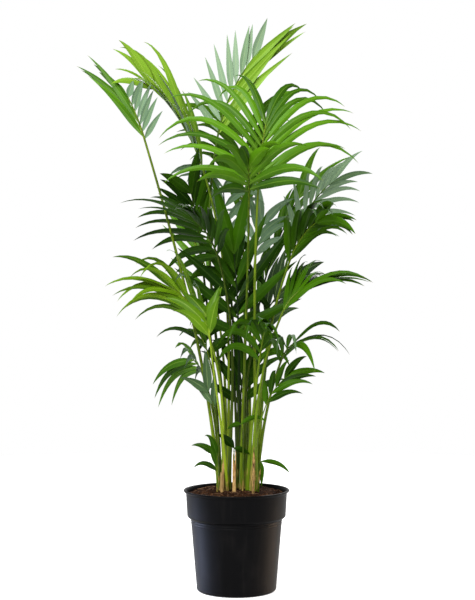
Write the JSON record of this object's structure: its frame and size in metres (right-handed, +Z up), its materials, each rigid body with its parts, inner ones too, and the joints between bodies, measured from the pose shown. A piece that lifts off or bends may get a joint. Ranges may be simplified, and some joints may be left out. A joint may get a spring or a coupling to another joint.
{
  "type": "potted palm",
  "caption": "Tall feather-leaved palm with several seedlings in one clump, standing in peat mix in a plain tapered nursery pot with drain holes.",
  "frame": {"origin": "centre of the pot's underside, on the surface it stands on", "axes": "+Z up along the pot's axis, the plant's front towards -Y, +X to the right seen from the front"},
  "size_m": [0.743, 0.6722, 1.431],
  "materials": {
    "pot_plastic": "satin",
    "potting_mix": "matte",
    "frond": "satin",
    "dry_sheath": "matte"
  },
  "bodies": {
    "root": {"pot": "pot_plastic", "potting_mix": "potting_mix", "frond_tall_front": "frond", "frond_tall_left": "frond", "frond_arching_left": "frond", "frond_top": "frond", "frond_middle_front": "frond", "frond_middle_left": "frond", "frond_upper_right": "frond", "frond_middle_right": "frond", "frond_low_left": "frond", "frond_low_right": "frond", "frond_young_left": "frond", "frond_small_right": "frond", "frond_drooping_left": "frond", "frond_small_left": "frond", "frond_short_left": "frond", "frond_bowed_right": "frond", "frond_dark_right": "frond", "frond_inner_left": "frond", "frond_centre": "frond", "frond_inner_back_left": "frond", "frond_inner_back_right": "frond", "frond_centre_left": "frond", "frond_centre_right": "frond", "frond_back_left": "frond", "frond_back_right": "frond", "frond_back_tall": "frond", "frond_low_back": "frond", "frond_shoot_left": "frond", "frond_shoot_inner": "frond", "frond_shoot_front": "frond", "frond_shoot_right": "frond", "sheath_tan": "dry_sheath", "sheath_frayed": "dry_sheath", "sheath_brown": "dry_sheath", "sheath_short": "dry_sheath"}
  },
  "joints": []
}
